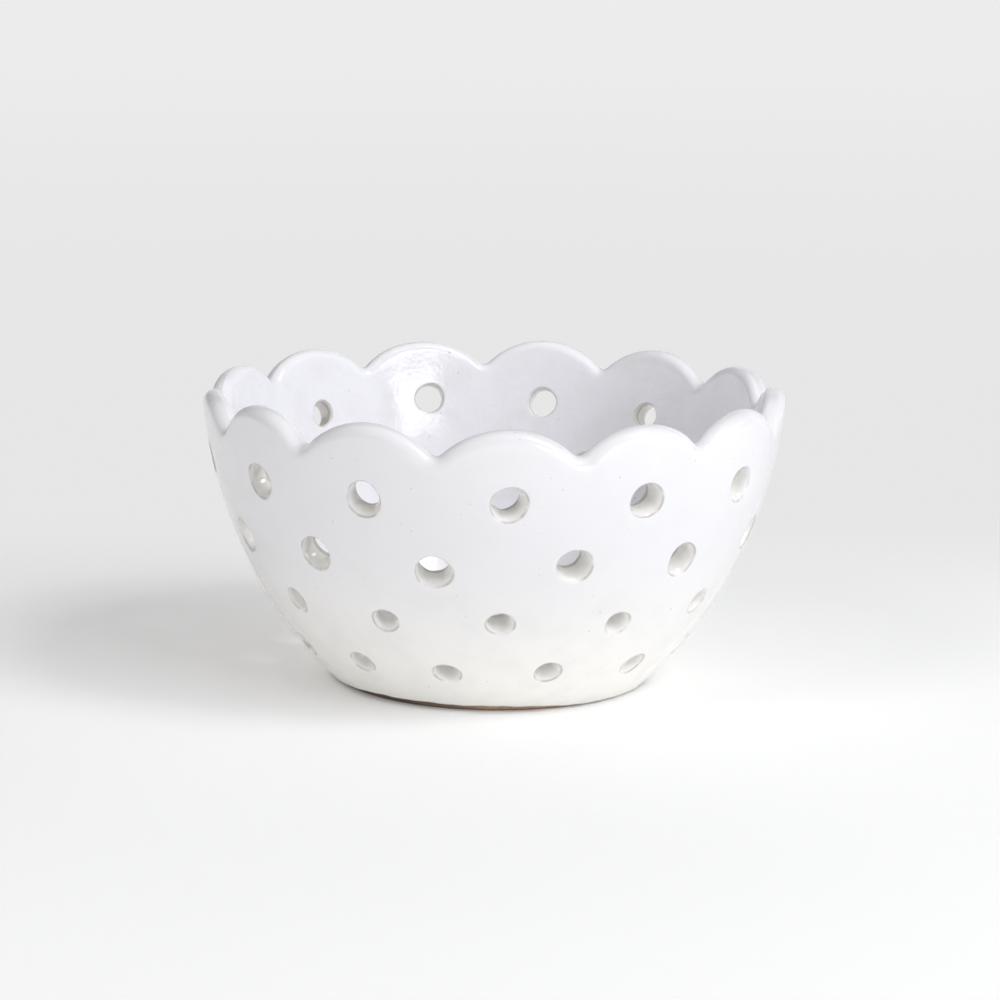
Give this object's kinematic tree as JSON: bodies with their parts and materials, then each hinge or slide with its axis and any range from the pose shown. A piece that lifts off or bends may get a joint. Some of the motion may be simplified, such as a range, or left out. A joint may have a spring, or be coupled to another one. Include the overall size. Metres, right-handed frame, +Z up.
{
  "type": "berry colander bowl",
  "caption": "Round stoneware berry bowl with a scalloped rim and rows of punched drain holes, glazed white, on a bare foot ring.",
  "frame": {"origin": "on the bowl's axis, in the plane that the foot ring stands on", "axes": "+Z up along the bowl's axis; a lobe of the rim faces -Y"},
  "size_m": [0.1516, 0.1512, 0.078],
  "materials": {
    "stoneware": "bare fired stoneware",
    "white_glaze": "glossy white glaze"
  },
  "bodies": {
    "root": {"clay_body": "stoneware", "foot_ring": "stoneware", "outer_glaze": "white_glaze", "inner_glaze": "white_glaze", "base_glaze": "white_glaze"}
  },
  "joints": []
}
